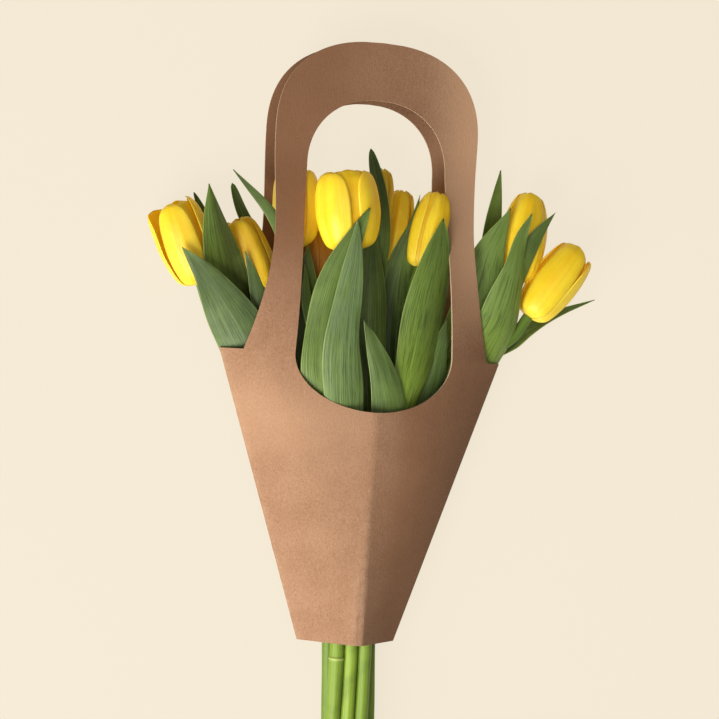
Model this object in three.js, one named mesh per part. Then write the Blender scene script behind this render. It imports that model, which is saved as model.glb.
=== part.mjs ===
// A bunch of ten yellow tulips in a folded kraft-board carrier, lying on its back.
// Millimetres: X across the bunch, Y along it towards the flower heads, Z up from the surface.
// Inside the bunch group, Y is measured from the open lower end of the carrier.
import * as THREE from "three";

// Carrier: a sleeve of one board, folded at both sides, with a handle arch in each panel.
const boardThickness = 0.9;
const originY = 65; // the part's origin, on the flat strip of the back panel
const foldZ = 16; // height of the side folds
const mouthHalfWidth = 29;
const shoulderHalfWidth = 85;
const shoulderY = 165;
const legFootHalfWidth = 73.5;
const legHalfWidth = 60;
const legStraightY = 240;
const archHalfWidth = 61.4;
const archStartY = 292;
const archTopY = 346;
const archPower = 2.4;
const openingBottomY = 133.2;
const openingFootHalfWidth = 47;
const openingHeadHalfWidth = 42;
const openingHeadY = 272;
const openingTopY = 312.5;
const openingPower = 2.2;
const frontMouthRise = 25; // the front crease above the side folds
const frontRise = 32;
const frontTopRise = 5.5;
const flatMouthHalfWidth = 14; // the flat strip that the carrier lies on
const flatShoulderHalfWidth = 45;
const bandColumns = 3;

// Plants
const clearance = 0.35; // between pieces that touch on the real bunch
const stemRadius = 3.8;
const neckRadius = 3.1;
const stemSides = 8;
const stemSteps = 19;
const leafThickness = 0.8;
const stemLean = 5; // how far the cut ends lie to the right of the mouth
const neckLength = 16;
const leafRows = 9;
const leafColumns = 4;
const sheathHalfWidth = 5;
const sheathLength = 14;
const petalThickness = 1.3;
const petalStep = 1.4; // how far an outer petal stands out
const petalHalfAngle = THREE.MathUtils.degToRad(52);

// Each tulip, from left to right: the cut end's Y, where the stem passes the carrier's mouth (X, Z), bends
// on its way, the bloom's base and tip, its radius and depth as a share of its width, how open it is and its
// turn about its axis. A leaf leaves its stem at a share of the stem's length. Its outer side faces the first
// of two angles there and the second along the blade (0 up, 90 right, 180 down). The cup is how far the
// blade bends across its half-width, in radians, and the spine is its middle line up to the tip.
const tulips = [
  {
    cut: -90, mouth: [-9.45, 12.6], via: [[-46, 110, 13], [-71, 165, 14]],
    base: [-102, 200, 17], tip: [-119, 244, 18.5], radius: 14.5, depth: 1, open: 0.4, turn: 20,
    leaves: [
      { at: 0.52, out: [0, -18], half: 13, cup: 0.35,
        spine: [[-58, 141, 24], [-68.5, 166, 22], [-84, 187, 27], [-99, 204, 33.5], [-115, 219, 36.5]] },
      { at: 0.8, out: [150, 180], half: 3.6, cup: 0.35,
        spine: [[-78.3, 178, 10.4], [-84, 210, 5.5], [-95, 236, 7], [-104, 252, 9]] },
    ],
  },
  {
    cut: -94, mouth: [-5.3, 5.3], via: [[-46, 165, 12]],
    base: [-60, 198, 14], tip: [-80, 237, 14.5], radius: 12, depth: 1, open: 0.1, turn: 75,
    leaves: [
      { at: 0.62, out: [210, 180], half: 9.6, cup: 0.4,
        spine: [[-55, 165, 5.8], [-62.3, 176, 8.5], [-73, 190, 17], [-84, 213, 26], [-93, 235, 26],
          [-100, 256, 27]] },
      { at: 0.74, out: [90, 180], half: 4.5, cup: 0.35,
        spine: [[-44, 180, 5], [-54, 213, 4.5], [-62, 230, 5], [-73, 243, 7], [-82, 259, 9]] },
    ],
  },
  {
    cut: -88, mouth: [-5.3, 19.9], via: [],
    base: [-45, 225, 13.2], tip: [-49, 269, 12.6], radius: 12.8, depth: 0.88, open: 0.1, turn: 40,
    leaves: [
      { at: 0.52, out: [-30, 0], half: 7, cup: 0.35,
        spine: [[-33.5, 124, 20.3], [-44, 150, 19.3], [-57, 176, 20.5], [-65, 193, 22.5],
          [-71, 207, 26], [-77, 220, 28.5]] },
      { at: 0.7, out: [50, 20], half: 5, cup: 0.35,
        spine: [[-23.7, 156, 26], [-31, 174, 28], [-38, 190, 29], [-41, 213, 28.5]] },
    ],
  },
  {
    cut: -96, mouth: [-1.15, 12.6], via: [],
    base: [-24, 198, 12], tip: [-27, 235, 12], radius: 10.8, depth: 1, open: 0.05, turn: 10,
    leaves: [
      { at: 0.6, out: [-10, -10], half: 6, cup: 0.35,
        spine: [[-15, 108, 24], [-24, 126, 24], [-36.2, 145, 22.5], [-38.8, 165, 21.5], [-41, 192, 21],
          [-46, 212, 22.5],
          [-51, 228, 25.3], [-60, 241, 24], [-84, 266, 18]] },
      { at: 0.75, out: [40, 0], half: 3.5, cup: 0.35,
        spine: [[-18.5, 152, 17.8], [-27.5, 175, 22], [-34, 198, 24.8], [-36, 220, 26]] },
    ],
  },
  {
    cut: -91, mouth: [3, 19.9], via: [],
    base: [-16, 224, 36], tip: [-23, 268, 37], radius: 18.6, depth: 0.85, open: 0.3, turn: 0,
    leaves: [
      { at: 0.56, out: [-60, -5], half: 13, cup: 0.35,
        spine: [[-25, 134, 40], [-31, 155, 42], [-32, 184, 45], [-27, 215, 49], [-19, 235, 53],
          [-13, 248, 54]] },
      { at: 0.42, out: [15, 0], half: 12, cup: 0.35,
        spine: [[-14, 135, 44], [-18, 168, 46], [-20, 196, 49], [-19, 224, 53], [-19, 240, 56]] },
    ],
  },
  {
    cut: -95, mouth: [3, 5.3], via: [],
    base: [-0.5, 230, 17.5], tip: [3.5, 276, 18], radius: 10.2, depth: 1, open: 0.1, turn: 55,
    leaves: [
      { at: 0.62, out: [20, 0], half: 6.5, cup: 0.35,
        spine: [[4, 145, 20], [5, 170, 22.8], [7, 190, 24], [8, 215, 24.5], [9, 232, 25.5],
          [7, 252, 29.5], [1, 285, 27]] },
    ],
  },
  {
    cut: -93, mouth: [7.15, 12.6], via: [],
    base: [15.2, 221, 9.1], tip: [19.7, 262, 9.1], radius: 8.4, depth: 1, open: 0.1, turn: 30,
    leaves: [
      { at: 0.55, out: [-20, 5], half: 7.5, cup: 0.35,
        spine: [[4, 140, 29], [4, 186, 28.5], [4, 215, 28.5], [3, 236, 28.5]] },
      { at: 0.62, out: [20, -5], half: 7, cup: 0.35,
        spine: [[16, 152, 19], [15, 181, 18], [15, 208, 18.5], [15.5, 228, 20], [18, 243, 20.6],
          [26, 261, 20]] },
    ],
  },
  {
    cut: -89, mouth: [11.3, 19.9], via: [],
    base: [29.6, 218, 22], tip: [38.1, 263, 18.8], radius: 10.5, depth: 1, open: 0.1, turn: 65,
    leaves: [
      { at: 0.5, out: [20, 18], half: 12, cup: 0.35,
        spine: [[19, 144, 40], [25, 176, 40], [29, 205, 38], [34, 228, 36.5], [38, 246, 34]] },
      { at: 0.42, out: [0, 0], half: 11, cup: 0.35,
        spine: [[12, 120, 42], [9, 137, 44], [4, 155, 46.5], [-4, 171, 50], [-11, 185, 53]] },
      { at: 0.64, out: [60, 10], half: 8, cup: 0.35,
        spine: [[26, 126, 26.5], [35, 142, 28.5], [41, 171, 30], [46, 195, 29]] },
    ],
  },
  {
    cut: -92, mouth: [11.3, 5.3], via: [[46, 110, 11.6], [64.2, 165, 12.3]],
    base: [94, 214, 15], tip: [100, 268, 15], radius: 13.2, depth: 1, open: 0.15, turn: 15,
    leaves: [
      { at: 0.62, out: [215, 180], half: 9, cup: 0.35,
        spine: [[50, 138, 6.8], [57, 165, 8], [64, 185, 8.6], [70, 205, 8], [75, 226, 6.5],
          [77, 253, 8], [80, 280, 12]] },
      { at: 0.55, out: [-60, 0], half: 9.5, cup: 0.35,
        spine: [[38.5, 122, 17], [47.8, 145, 17], [57.5, 165, 17.6], [71, 200, 22], [75, 229, 24],
          [83, 257, 26]] },
    ],
  },
  {
    cut: -94, mouth: [15.45, 12.6], via: [[52, 110, 17.2], [72, 165, 15.4]],
    base: [104.1, 194, 18.5], tip: [131, 238, 22], radius: 13, depth: 1, open: 0.15, turn: 50,
    leaves: [
      { at: 0.62, out: [-10, 12], half: 10, cup: 0.35,
        spine: [[55, 131, 24.5], [60, 146, 24], [68, 166, 23.6], [78, 191, 29.5], [84, 218, 32.5],
          [87, 238, 34], [93, 254, 35]] },
      { at: 0.78, out: [0, 10], half: 5.8, cup: 0.35,
        spine: [[72.7, 166, 21.1], [85, 190, 24.8], [91, 212, 28.4], [95, 230, 30], [101, 244, 31],
          [109, 256, 32]] },
      { at: 0.7, out: [135, 150], half: 2.9, cup: 0.35,
        spine: [[72, 146, 13.7], [75.8, 156, 14.8], [78.7, 167, 16.1], [84.5, 171.8, 11.8],
          [91, 175.5, 9.5], [97, 179, 9], [106, 186, 8], [124, 197, 5.5], [150, 207.5, 4.5]] },
    ],
  },
];

const boardMaterial = new THREE.MeshStandardMaterial({ color: "#b98a63", roughness: 0.85, metalness: 0 });
const stemMaterial = new THREE.MeshStandardMaterial({ color: "#a9c653", roughness: 0.5, metalness: 0 });
const leafMaterial = new THREE.MeshStandardMaterial({ color: "#5d8446", roughness: 0.5, metalness: 0 });
const petalMaterial = new THREE.MeshStandardMaterial({ color: "#f8d22c", roughness: 0.45, metalness: 0 });

const { lerp, smoothstep, degToRad, clamp } = THREE.MathUtils;
const vector = (coordinates) => new THREE.Vector3(...coordinates);

// A quarter of a superellipse: 1 at 0, falling to 0 at 1.
const roundOff = (share, power) => Math.pow(Math.max(0, 1 - Math.pow(share, power)), 1 / power);

// Turns an open triangulated surface into a closed board. Both faces are split alike, and each edge
// that only one triangle uses gets a wall.
function thicken(points, faces, thickness) {
  const normals = points.map(() => new THREE.Vector3());
  const rim = new Map();
  for (const face of faces) {
    const [a, b, c] = face.map((i) => points[i]);
    const normal = b.clone().sub(a).cross(c.clone().sub(a));
    face.forEach((i, corner) => {
      const next = face[(corner + 1) % 3];
      normals[i].add(normal);
      if (!rim.delete(`${next},${i}`)) rim.set(`${i},${next}`, [i, next]);
    });
  }
  const position = [];
  for (const side of [0.5, -0.5]) {
    points.forEach((point, i) => {
      position.push(...point.clone().addScaledVector(normals[i].normalize(), side * thickness));
    });
  }
  const under = points.length;
  const index = faces.flat();
  for (const [a, b, c] of faces) index.push(c + under, b + under, a + under);
  for (const [a, b] of rim.values()) index.push(b, a, a + under, b, a + under, b + under);
  return new THREE.BufferGeometry()
    .setAttribute("position", new THREE.Float32BufferAttribute(position, 3))
    .setIndex(index);
}

// The points and triangles of a grid of rows, where point(row, column) gives a Vector3.
function grid(rows, columns, point) {
  const points = [];
  const faces = [];
  for (let row = 0; row <= rows; row++) {
    for (let column = 0; column <= columns; column++) {
      points.push(point(row, column));
      if (row === 0 || column === 0) continue;
      const last = points.length - 1;
      const below = last - columns - 1;
      faces.push([below - 1, below, last], [below - 1, last, last - 1]);
    }
  }
  return { points, faces };
}

// A closed tube through rings of points, with a flat end at each side.
function loft(rings) {
  const sides = rings[0].length;
  const position = rings.flat().flatMap((point) => point.toArray());
  const index = [];
  for (let ring = 1; ring < rings.length; ring++) {
    for (let side = 0; side < sides; side++) {
      const a = (ring - 1) * sides + side;
      const b = (ring - 1) * sides + ((side + 1) % sides);
      index.push(a, b, b + sides, a, b + sides, a + sides);
    }
  }
  const last = (rings.length - 1) * sides;
  for (let side = 1; side < sides - 1; side++) {
    index.push(0, side + 1, side, last, last + side, last + side + 1);
  }
  return new THREE.BufferGeometry()
    .setAttribute("position", new THREE.Float32BufferAttribute(position, 3))
    .setIndex(index);
}

// Carrier outline, each as a half-width at a height.
const foldX = (y) => lerp(mouthHalfWidth, shoulderHalfWidth, y / shoulderY);

function legX(y) {
  if (y < shoulderY) return (foldX(y) * legFootHalfWidth) / shoulderHalfWidth;
  if (y > archStartY) {
    return archHalfWidth * roundOff((y - archStartY) / (archTopY - archStartY), archPower);
  }
  if (y > legStraightY) return lerp(legHalfWidth, archHalfWidth, smoothstep(y, legStraightY, archStartY));
  const rest = clamp((legStraightY - y) / (legStraightY - shoulderY), 0, 1);
  return legHalfWidth + (legFootHalfWidth - legHalfWidth) * Math.pow(rest, 1.75);
}

function openingX(y) {
  if (y <= openingBottomY || y >= openingTopY) return 0;
  if (y < shoulderY) {
    return openingFootHalfWidth * roundOff((shoulderY - y) / (shoulderY - openingBottomY), 2);
  }
  if (y > openingHeadY) {
    const share = (y - openingHeadY) / (openingTopY - openingHeadY);
    return openingHeadHalfWidth * roundOff(share, openingPower);
  }
  return lerp(openingFootHalfWidth, openingHeadHalfWidth, (y - shoulderY) / (openingHeadY - shoulderY));
}

// Height of the front panel: a diamond section at the mouth, bowed at the shoulder, flat at the arch.
function frontZ(x, y) {
  const up = smoothstep(y, shoulderY, archStartY - 5);
  const rise = y < shoulderY
    ? lerp(frontMouthRise, frontRise, smoothstep(y, 0, openingBottomY))
    : lerp(frontRise, frontTopRise, up);
  const share = Math.abs(x) / (y < shoulderY ? foldX(y) : shoulderHalfWidth);
  const crease = lerp(1, 0.3, smoothstep(y, 0, openingBottomY));
  const fall = crease * share + (1 - crease) * Math.pow(share, 3);
  const bow = y < shoulderY ? 1 : 1 - smoothstep(y, shoulderY, archStartY + 10);
  return foldZ + rise * (1 - bow * fall);
}

// Height of the back panel: flat where it lies, rising to the side folds.
function backZ(x, y) {
  const halfFlat = lerp(flatMouthHalfWidth, flatShoulderHalfWidth, Math.min(1, y / shoulderY));
  const fold = y < shoulderY ? foldX(y) : shoulderHalfWidth;
  const share = clamp((Math.abs(x) - halfFlat) / (fold - halfFlat), 0, 1);
  const bow = y < shoulderY ? 1 : 1 - smoothstep(y, shoulderY, legStraightY);
  return boardThickness / 2 + (foldZ - boardThickness / 2) * bow * Math.pow(share, 1.6);
}

// Rows of the carrier's grid, close together where the outline turns.
const carrierRows = [
  0, 22, 45, 70, 95, 115, openingBottomY, 135, 139.5, 146, 155, shoulderY, 172, 181, 194, 214, legStraightY,
  258, openingHeadY, 282, archStartY, 300, 306, 310, openingTopY, 319, 326.5, 333, 338.5, 342.5, 345.2,
];

// Half-widths of one row from the outer edge inwards: the side fold, then the band beside the opening.
function rowX(y) {
  const xs = [];
  for (let column = 0; column <= bandColumns; column++) {
    xs.push(lerp(legX(y), openingX(y), column / bandColumns));
  }
  return y <= shoulderY ? [foldX(y), ...xs] : [null, ...xs];
}

function carrierGeometry() {
  const points = [];
  const faces = [];
  const known = new Map();
  const pointIndex = (x, y, z) => {
    const key = [x, y, z].map((value) => value.toFixed(3)).join();
    if (!known.has(key)) known.set(key, points.push(new THREE.Vector3(x, y, z)) - 1);
    return known.get(key);
  };
  for (const [height, upwards] of [[frontZ, true], [backZ, false]]) {
    for (const side of [-1, 1]) {
      const rows = carrierRows.map((y) =>
        rowX(y).map((x, column) => {
          if (x === null) return null;
          return pointIndex(side * x, y, column === 0 ? foldZ : height(x, y));
        }),
      );
      for (let row = 1; row < rows.length; row++) {
        for (let column = 1; column < rows[row].length; column++) {
          const corners = [
            rows[row - 1][column - 1], rows[row - 1][column], rows[row][column], rows[row][column - 1],
          ];
          if (corners.includes(null)) continue;
          if (upwards === side > 0) corners.reverse();
          const [a, b, c, d] = corners;
          faces.push([a, b, c], [a, c, d]);
        }
      }
    }
  }
  return thicken(points, faces.filter(([a, b, c]) => a !== b && b !== c && c !== a), boardThickness);
}

// The stem's centre line, which ends along the bloom's axis.
function stemCurve({ cut, mouth, via, base, tip }) {
  const [x, z] = mouth;
  const axis = vector(tip).sub(vector(base)).normalize();
  const neck = vector(base).addScaledVector(axis, -neckLength);
  const start = [[x + stemLean, cut, z], [x, 0, z], [x - 0.3 * stemLean, 24, z]];
  return new THREE.CatmullRomCurve3([...start.map(vector), ...via.map(vector), neck, vector(base)]);
}

const stemRadiusAt = (share) => lerp(stemRadius, neckRadius, smoothstep(share, 0.3, 1));

function stemGeometry(curve) {
  const frames = curve.computeFrenetFrames(stemSteps, false);
  const rings = [];
  for (let step = 0; step <= stemSteps; step++) {
    const share = step / stemSteps;
    const centre = curve.getPointAt(share);
    const ring = [];
    for (let side = 0; side < stemSides; side++) {
      const angle = (side / stemSides) * 2 * Math.PI;
      ring.push(
        centre.clone()
          .addScaledVector(frames.normals[step], Math.cos(angle) * stemRadiusAt(share))
          .addScaledVector(frames.binormals[step], Math.sin(angle) * stemRadiusAt(share)),
      );
    }
    rings.push(ring);
  }
  return loft(rings);
}

// Half-width of a leaf along its length: a clasping base, the broad middle and a drawn-out point.
function leafHalfWidth(share, half) {
  const belly = 0.48;
  if (share < belly) return lerp(Math.min(sheathHalfWidth, 0.8 * half), half, smoothstep(share, 0.05, belly));
  const rest = (share - belly) / (1 - belly);
  return Math.max(0.4, half * Math.pow(1 - rest, 0.9) * (1 + 0.9 * rest));
}

// The direction square to a tangent that faces an angle from upwards, turning to the right.
function facing(angle, tangent) {
  const radians = degToRad(angle);
  const out = new THREE.Vector3(Math.sin(radians), 0, Math.cos(radians));
  return out.addScaledVector(tangent, -out.dot(tangent)).normalize();
}

// A leaf clasps its stem at the base, then opens to a shallow channel.
function leafGeometry(curve, { at, out, half, cup, spine }) {
  const stand = stemRadiusAt(at) + clearance + leafThickness / 2;
  const sheath = [0, 0.5, 1].map((part) => {
    const share = at + (part * sheathLength) / curve.getLength();
    return curve.getPointAt(share).addScaledVector(facing(out[0], curve.getTangentAt(share)), stand);
  });
  const path = new THREE.CatmullRomCurve3([...sheath, ...spine.map(vector)]);
  const blade = grid(leafRows, leafColumns, (row, column) => {
    const share = row / leafRows;
    const tangent = path.getTangentAt(share);
    const inner = facing(lerp(out[0], out[1], smoothstep(share, 0.12, 0.5)), tangent).negate();
    const across = tangent.clone().cross(inner);
    const arc = (2 * column / leafColumns - 1) * leafHalfWidth(share, half);
    const bend = lerp(1 / stand, cup / half, smoothstep(share, 0.06, 0.4));
    return path.getPointAt(share)
      .addScaledVector(across, Math.sin(arc * bend) / bend)
      .addScaledVector(inner, (1 - Math.cos(arc * bend)) / bend);
  });
  return thicken(blade.points, blade.faces, leafThickness);
}

// Outline of a bloom as shares of its radius and height, from the base to the petal tips.
const bloomProfile = new THREE.SplineCurve(
  [[0.3, 0], [0.74, 0.08], [1, 0.4], [0.93, 0.68], [0.7, 0.9], [0.48, 1]].map((p) => new THREE.Vector2(...p)),
);

// Columns of a third of a bloom, centred on an outer petal: the angle as a share of the petal's half-angle,
// whether it lies on the raised outer petal, and how far up it reaches. The last is an inner petal's middle.
const petalColumns = [
  { share: -1.12, outer: false, reach: 0.9 },
  { share: -1, outer: true, reach: 0.84 },
  { share: -0.5, outer: true, reach: 0.96 },
  { share: 0, outer: true, reach: 1 },
  { share: 0.5, outer: true, reach: 0.96 },
  { share: 1, outer: true, reach: 0.84 },
  { share: 1.12, outer: false, reach: 0.9 },
  { share: null, outer: false, reach: 1.02 },
];
const bloomRows = [0, 0.1, 0.28, 0.5, 0.72, 0.88, 1];

// Three outer petals stand out from three inner ones, and all six end in tips round a hollow.
function bloomGeometry({ base, tip, radius, depth, open, turn }) {
  const height = vector(tip).distanceTo(vector(base));
  const point = (level, share, angle, inset) => {
    const profile = bloomProfile.getPoint(Math.min(1, share));
    const spread = profile.x * radius * (1 + open * share * share) - inset;
    return new THREE.Vector3(
      Math.cos(angle) * spread, depth * Math.sin(angle) * spread, height * (profile.y * level));
  };
  const ring = (level, inset, sink) =>
    Array.from({ length: 3 }, (_, petal) =>
      petalColumns.map(({ share, outer, reach }) => {
        const up = level * reach;
        const halfAngle = petalHalfAngle * (1 - 0.45 * Math.pow(up, 3));
        const offset = share === null ? Math.PI / 3 : share * halfAngle;
        const angle = degToRad(turn) + (petal * 2 * Math.PI) / 3 + offset;
        return point(1, up - sink, angle, inset + (outer ? 0 : petalStep * Math.min(1, 4 * level)));
      }),
    ).flat();
  const rings = bloomRows.map((level) => ring(level, 0, 0));
  rings.push(ring(1, petalThickness, 0.02), ring(0.72, 2 * petalThickness, 0));
  return loft(rings);
}

function mesh(name, geometry, material) {
  const made = new THREE.Mesh(geometry, material);
  made.name = name;
  return made;
}

const bunch = new THREE.Group();
bunch.position.y = -originY;
bunch.add(mesh("carrier", carrierGeometry(), boardMaterial));

tulips.forEach((tulip, i) => {
  const name = `tulip_${String(i + 1).padStart(2, "0")}`;
  const curve = stemCurve(tulip);
  bunch.add(mesh(`${name}_stem`, stemGeometry(curve), stemMaterial));
  tulip.leaves.forEach((leaf, j) => {
    bunch.add(mesh(`${name}_leaf_${j + 1}`, leafGeometry(curve, leaf), leafMaterial));
  });
  const bloom = mesh(`${name}_bloom`, bloomGeometry(tulip), petalMaterial);
  const axis = vector(tulip.tip).sub(vector(tulip.base)).normalize();
  const front = facing(0, axis);
  bloom.setRotationFromMatrix(new THREE.Matrix4().makeBasis(front.clone().cross(axis), front, axis));
  bloom.position.copy(vector(tulip.base)).addScaledVector(axis, clearance);
  bunch.add(bloom);
});

const part = new THREE.Group();
part.add(bunch);

export default part;
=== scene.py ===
import math
from bisect import bisect_right

import bpy
import numpy as np
from mathutils import Matrix, Vector


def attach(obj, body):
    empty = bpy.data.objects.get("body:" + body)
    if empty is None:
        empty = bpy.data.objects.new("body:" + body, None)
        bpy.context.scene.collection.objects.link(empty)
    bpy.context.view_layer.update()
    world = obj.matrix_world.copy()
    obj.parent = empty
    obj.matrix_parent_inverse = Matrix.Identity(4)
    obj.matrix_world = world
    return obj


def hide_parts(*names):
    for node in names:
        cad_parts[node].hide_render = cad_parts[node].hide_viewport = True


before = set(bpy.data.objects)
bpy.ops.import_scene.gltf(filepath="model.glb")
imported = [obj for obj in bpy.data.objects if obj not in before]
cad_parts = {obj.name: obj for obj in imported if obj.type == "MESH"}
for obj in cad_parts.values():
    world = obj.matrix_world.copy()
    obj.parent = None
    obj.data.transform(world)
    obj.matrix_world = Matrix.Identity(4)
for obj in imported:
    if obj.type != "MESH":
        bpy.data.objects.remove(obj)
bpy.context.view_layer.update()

print("frame loaded:", len(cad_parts), "solids")

# Millimetres below, in the bunch's own measure: y runs from the carrier's open lower end.
bunch = {"originY": 65, "clearance": 0.35}


def blend(a, b, share):
    return a + (b - a) * share


def ease(value, low, high):
    share = np.clip((value - low) / (high - low), 0, 1)
    return share * share * (3 - 2 * share)


def unit(vectors):
    return vectors / np.maximum(np.linalg.norm(vectors, axis=-1, keepdims=True), 1e-12)


def bump(value, centre, width):
    return np.exp(-(((value - centre) / width) ** 2))


def cubic(a, b, start, end, w):
    return (a + start * w + (3 * (b - a) - 2 * start - end) * w * w
            + (2 * (a - b) + start + end) * w ** 3)


class Path:
    # a smooth line through points, measured by shares of its length
    def __init__(self, points):
        self.points = np.array(points, float)
        spots = np.array([self.spot(i / 200) for i in range(201)])
        steps = np.linalg.norm(np.diff(spots, axis=0), axis=1)
        self.marks = np.concatenate([[0], np.cumsum(steps)])
        self.length = self.marks[-1]

    def spot(self, t):
        count = len(self.points)
        place = (count - 1) * t
        i = min(int(place), count - 2)
        w = place - i
        b, c = self.points[i], self.points[i + 1]
        a = self.points[i - 1] if i > 0 else 2 * b - c
        d = self.points[i + 2] if i + 2 < count else 2 * c - b
        ab, bc, cd = (np.sqrt(np.linalg.norm(q - p)) for p, q in ((a, b), (b, c), (c, d)))
        start = ((b - a) / ab - (c - a) / (ab + bc) + (c - b) / bc) * bc
        end = ((c - b) / bc - (d - b) / (bc + cd) + (d - c) / cd) * bc
        return cubic(b, c, start, end, w)

    def part(self, share):
        goal = min(max(share, 0), 1) * self.length
        i = min(bisect_right(self.marks, goal) - 1, 199)
        return (i + (goal - self.marks[i]) / (self.marks[i + 1] - self.marks[i])) / 200

    def at(self, share):
        return self.spot(self.part(share))

    def heading(self, share):
        t = self.part(share)
        return unit(self.spot(min(1, t + 1e-4)) - self.spot(max(0, t - 1e-4)))


# Shader helper: a node's output, on which arithmetic adds Math nodes.
class Wire:
    def __init__(self, tree, socket=None):
        self.tree, self.socket = tree, socket

    def node(self, kind, settings=None, sockets=None, output=0):
        made = self.tree.nodes.new("ShaderNode" + kind)
        for name, value in (settings or {}).items():
            setattr(made, name, value)
        for name, value in (sockets or {}).items():
            if isinstance(value, Wire):
                self.tree.links.new(value.socket, made.inputs[name])
            else:
                made.inputs[name].default_value = value
        return Wire(self.tree, made.outputs[output])

    def maths(self, operation, *values):
        return self.node("Math", {"operation": operation}, dict(enumerate(values)))

    def run(self, operation, *more):
        return self.maths(operation, self, *more)

    def __add__(self, other):
        return self.run("ADD", other)

    def __sub__(self, other):
        return self.run("SUBTRACT", other)

    def __rsub__(self, other):
        return self.maths("SUBTRACT", other, self)

    def __mul__(self, other):
        return self.run("MULTIPLY", other)

    __radd__ = __add__

    def within(self, low, high):
        return self.node("MapRange", {"interpolation_type": "SMOOTHSTEP"},
                         {"Value": self, "From Min": low, "From Max": high})

    def mix(self, first, second):
        return self.node("Mix", {"data_type": "RGBA"}, {0: self, 6: first, 7: second}, 2)

    # lays named colours of a look over this one, each by its own share
    def under(self, look, *layers):
        colour = self
        for share, name in layers:
            colour = share.mix(colour, look[name])
        return colour

    def mark(self, name):
        return self.node("Attribute", {"attribute_name": name}, output=2)

    def place(self, scale=(1, 1, 1), turn=(0, 0, 0)):
        spot = self.node("TexCoord", output=3)
        return self.node("Mapping",
                         sockets={"Vector": spot, "Scale": scale, "Rotation": turn})

    def speckle(self, where, scale, detail, rough=0.5):
        return self.node("TexNoise", sockets={
            "Vector": where, "Scale": scale, "Detail": detail, "Roughness": rough})

    def stretch(self, x, y, z=0.0):
        return self.node("CombineXYZ", sockets={0: x, 1: y, 2: z})

    def relief(self, height, strength, distance=0.0003):
        return self.node("Bump", sockets={
            "Height": height, "Strength": strength, "Distance": distance})


def paint(code):
    values = [int(code[i:i + 2], 16) / 255 for i in (1, 3, 5)]
    return (*[v / 12.92 if v <= 0.04045 else ((v + 0.055) / 1.055) ** 2.4 for v in values], 1)


def finish(name, recipe, look):
    material = bpy.data.materials.new(name)
    material.use_nodes = True
    tree = material.node_tree
    shader = tree.nodes["Principled BSDF"]
    fixed = {"Specular IOR Level": look["shine"], "Emission Strength": look.get("glow", 0)}
    if "depth" in look:
        fixed.update(zip(("Subsurface Weight", "Subsurface Scale", "Subsurface Radius"), look["depth"]))
    for socket, value in {**fixed, **recipe(Wire(tree), look)}.items():
        if isinstance(value, Wire):
            tree.links.new(value.socket, shader.inputs[socket])
        else:
            shader.inputs[socket].default_value = value
    return material


# Kraft board, with a lighter tone used only for painted light
boardLook = {
    "dark": paint("#765238"), "light": paint("#a27e63"), "edge": paint("#bda488"),
    "fleck": paint("#573a27"), "fresh": paint("#ba9474"), "roughness": 0.84, "cloudScale": 38,
    "grainScale": 900, "fleckScale": 420, "fibres": ((0.3, 1100), (1.4, 1300), (2.4, 1000)),
    "fibreStretch": 0.12, "relief": 0.00035, "shine": 0.25,
}


def kraft(w, look):
    cloud = w.speckle(w.place(), look["cloudScale"], 3, 0.55)
    grain = w.speckle(w.place(), look["grainScale"], 3, 0.65)
    fibres = 0
    for turn, wide in look["fibres"]:
        along = w.place((wide, wide * look["fibreStretch"], wide), (0, 0, turn))
        offset = w.speckle(along, 1, 1, 0.4) - 0.5
        fibres = (1 - offset.run("ABSOLUTE") * 9).run("MAXIMUM", 0.0) * 0.34 + fibres
    fleck = w.node("TexVoronoi", {"feature": "F1"},
                   {"Vector": w.place(), "Scale": look["fleckScale"]})
    rare = w.speckle(w.place(), 160, 0)
    dark = (1 - fleck.within(0.1, 0.22)) * rare.within(0.56, 0.62)
    pale = (1 - fleck.within(0.08, 0.2)) * (1 - rare.within(0.36, 0.42))
    worn = w.mark("fold") * w.speckle(w.place(), 260, 3, 0.7).within(0.35, 0.7)
    tone = (cloud.within(0.25, 0.75) * 0.2 + grain * 0.9 - 0.05).within(0.0, 1.0)
    # Over the board's own tones, fibres and flecks lie painted shade in the dark tone and painted light
    # in the lighter tone, from the carrier's marks; cut edges are pale.
    colour = tone.mix(look["dark"], look["light"]).under(
        look, (fibres * 0.35, "light"), (dark * 0.35, "fleck"), (pale * 0.3, "edge"),
        (worn * 0.3, "edge"), (w.mark("paintedShade") * 0.75, "dark"), (w.mark("fresh") * 0.75, "fresh"),
        (w.mark("cutEdge") * 0.85, "edge"))
    height = grain * 0.6 + fibres * 0.5 + cloud * 0.3
    return {"Base Color": colour, "Roughness": look["roughness"] + grain * 0.12 - 0.06,
            "Normal": w.relief(height, 0.35, look["relief"])}


# Leaves: greyish bloom over blue-green, fresh green where young, olive in the shade
leafLook = {
    "bluish": paint("#566b4b"), "green": paint("#4d6622"), "fresh": paint("#86a236"),
    "olive": paint("#3c440c"), "margin": paint("#96a862"), "veinDark": paint("#2e401b"),
    "veinPale": paint("#9aae80"), "patch": paint("#74903f"), "veinGap": 1.3, "roughness": 0.5,
    "shine": 0.3, "depth": (0.06, 0.002, (0.5, 1.0, 0.2)),
}


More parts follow.
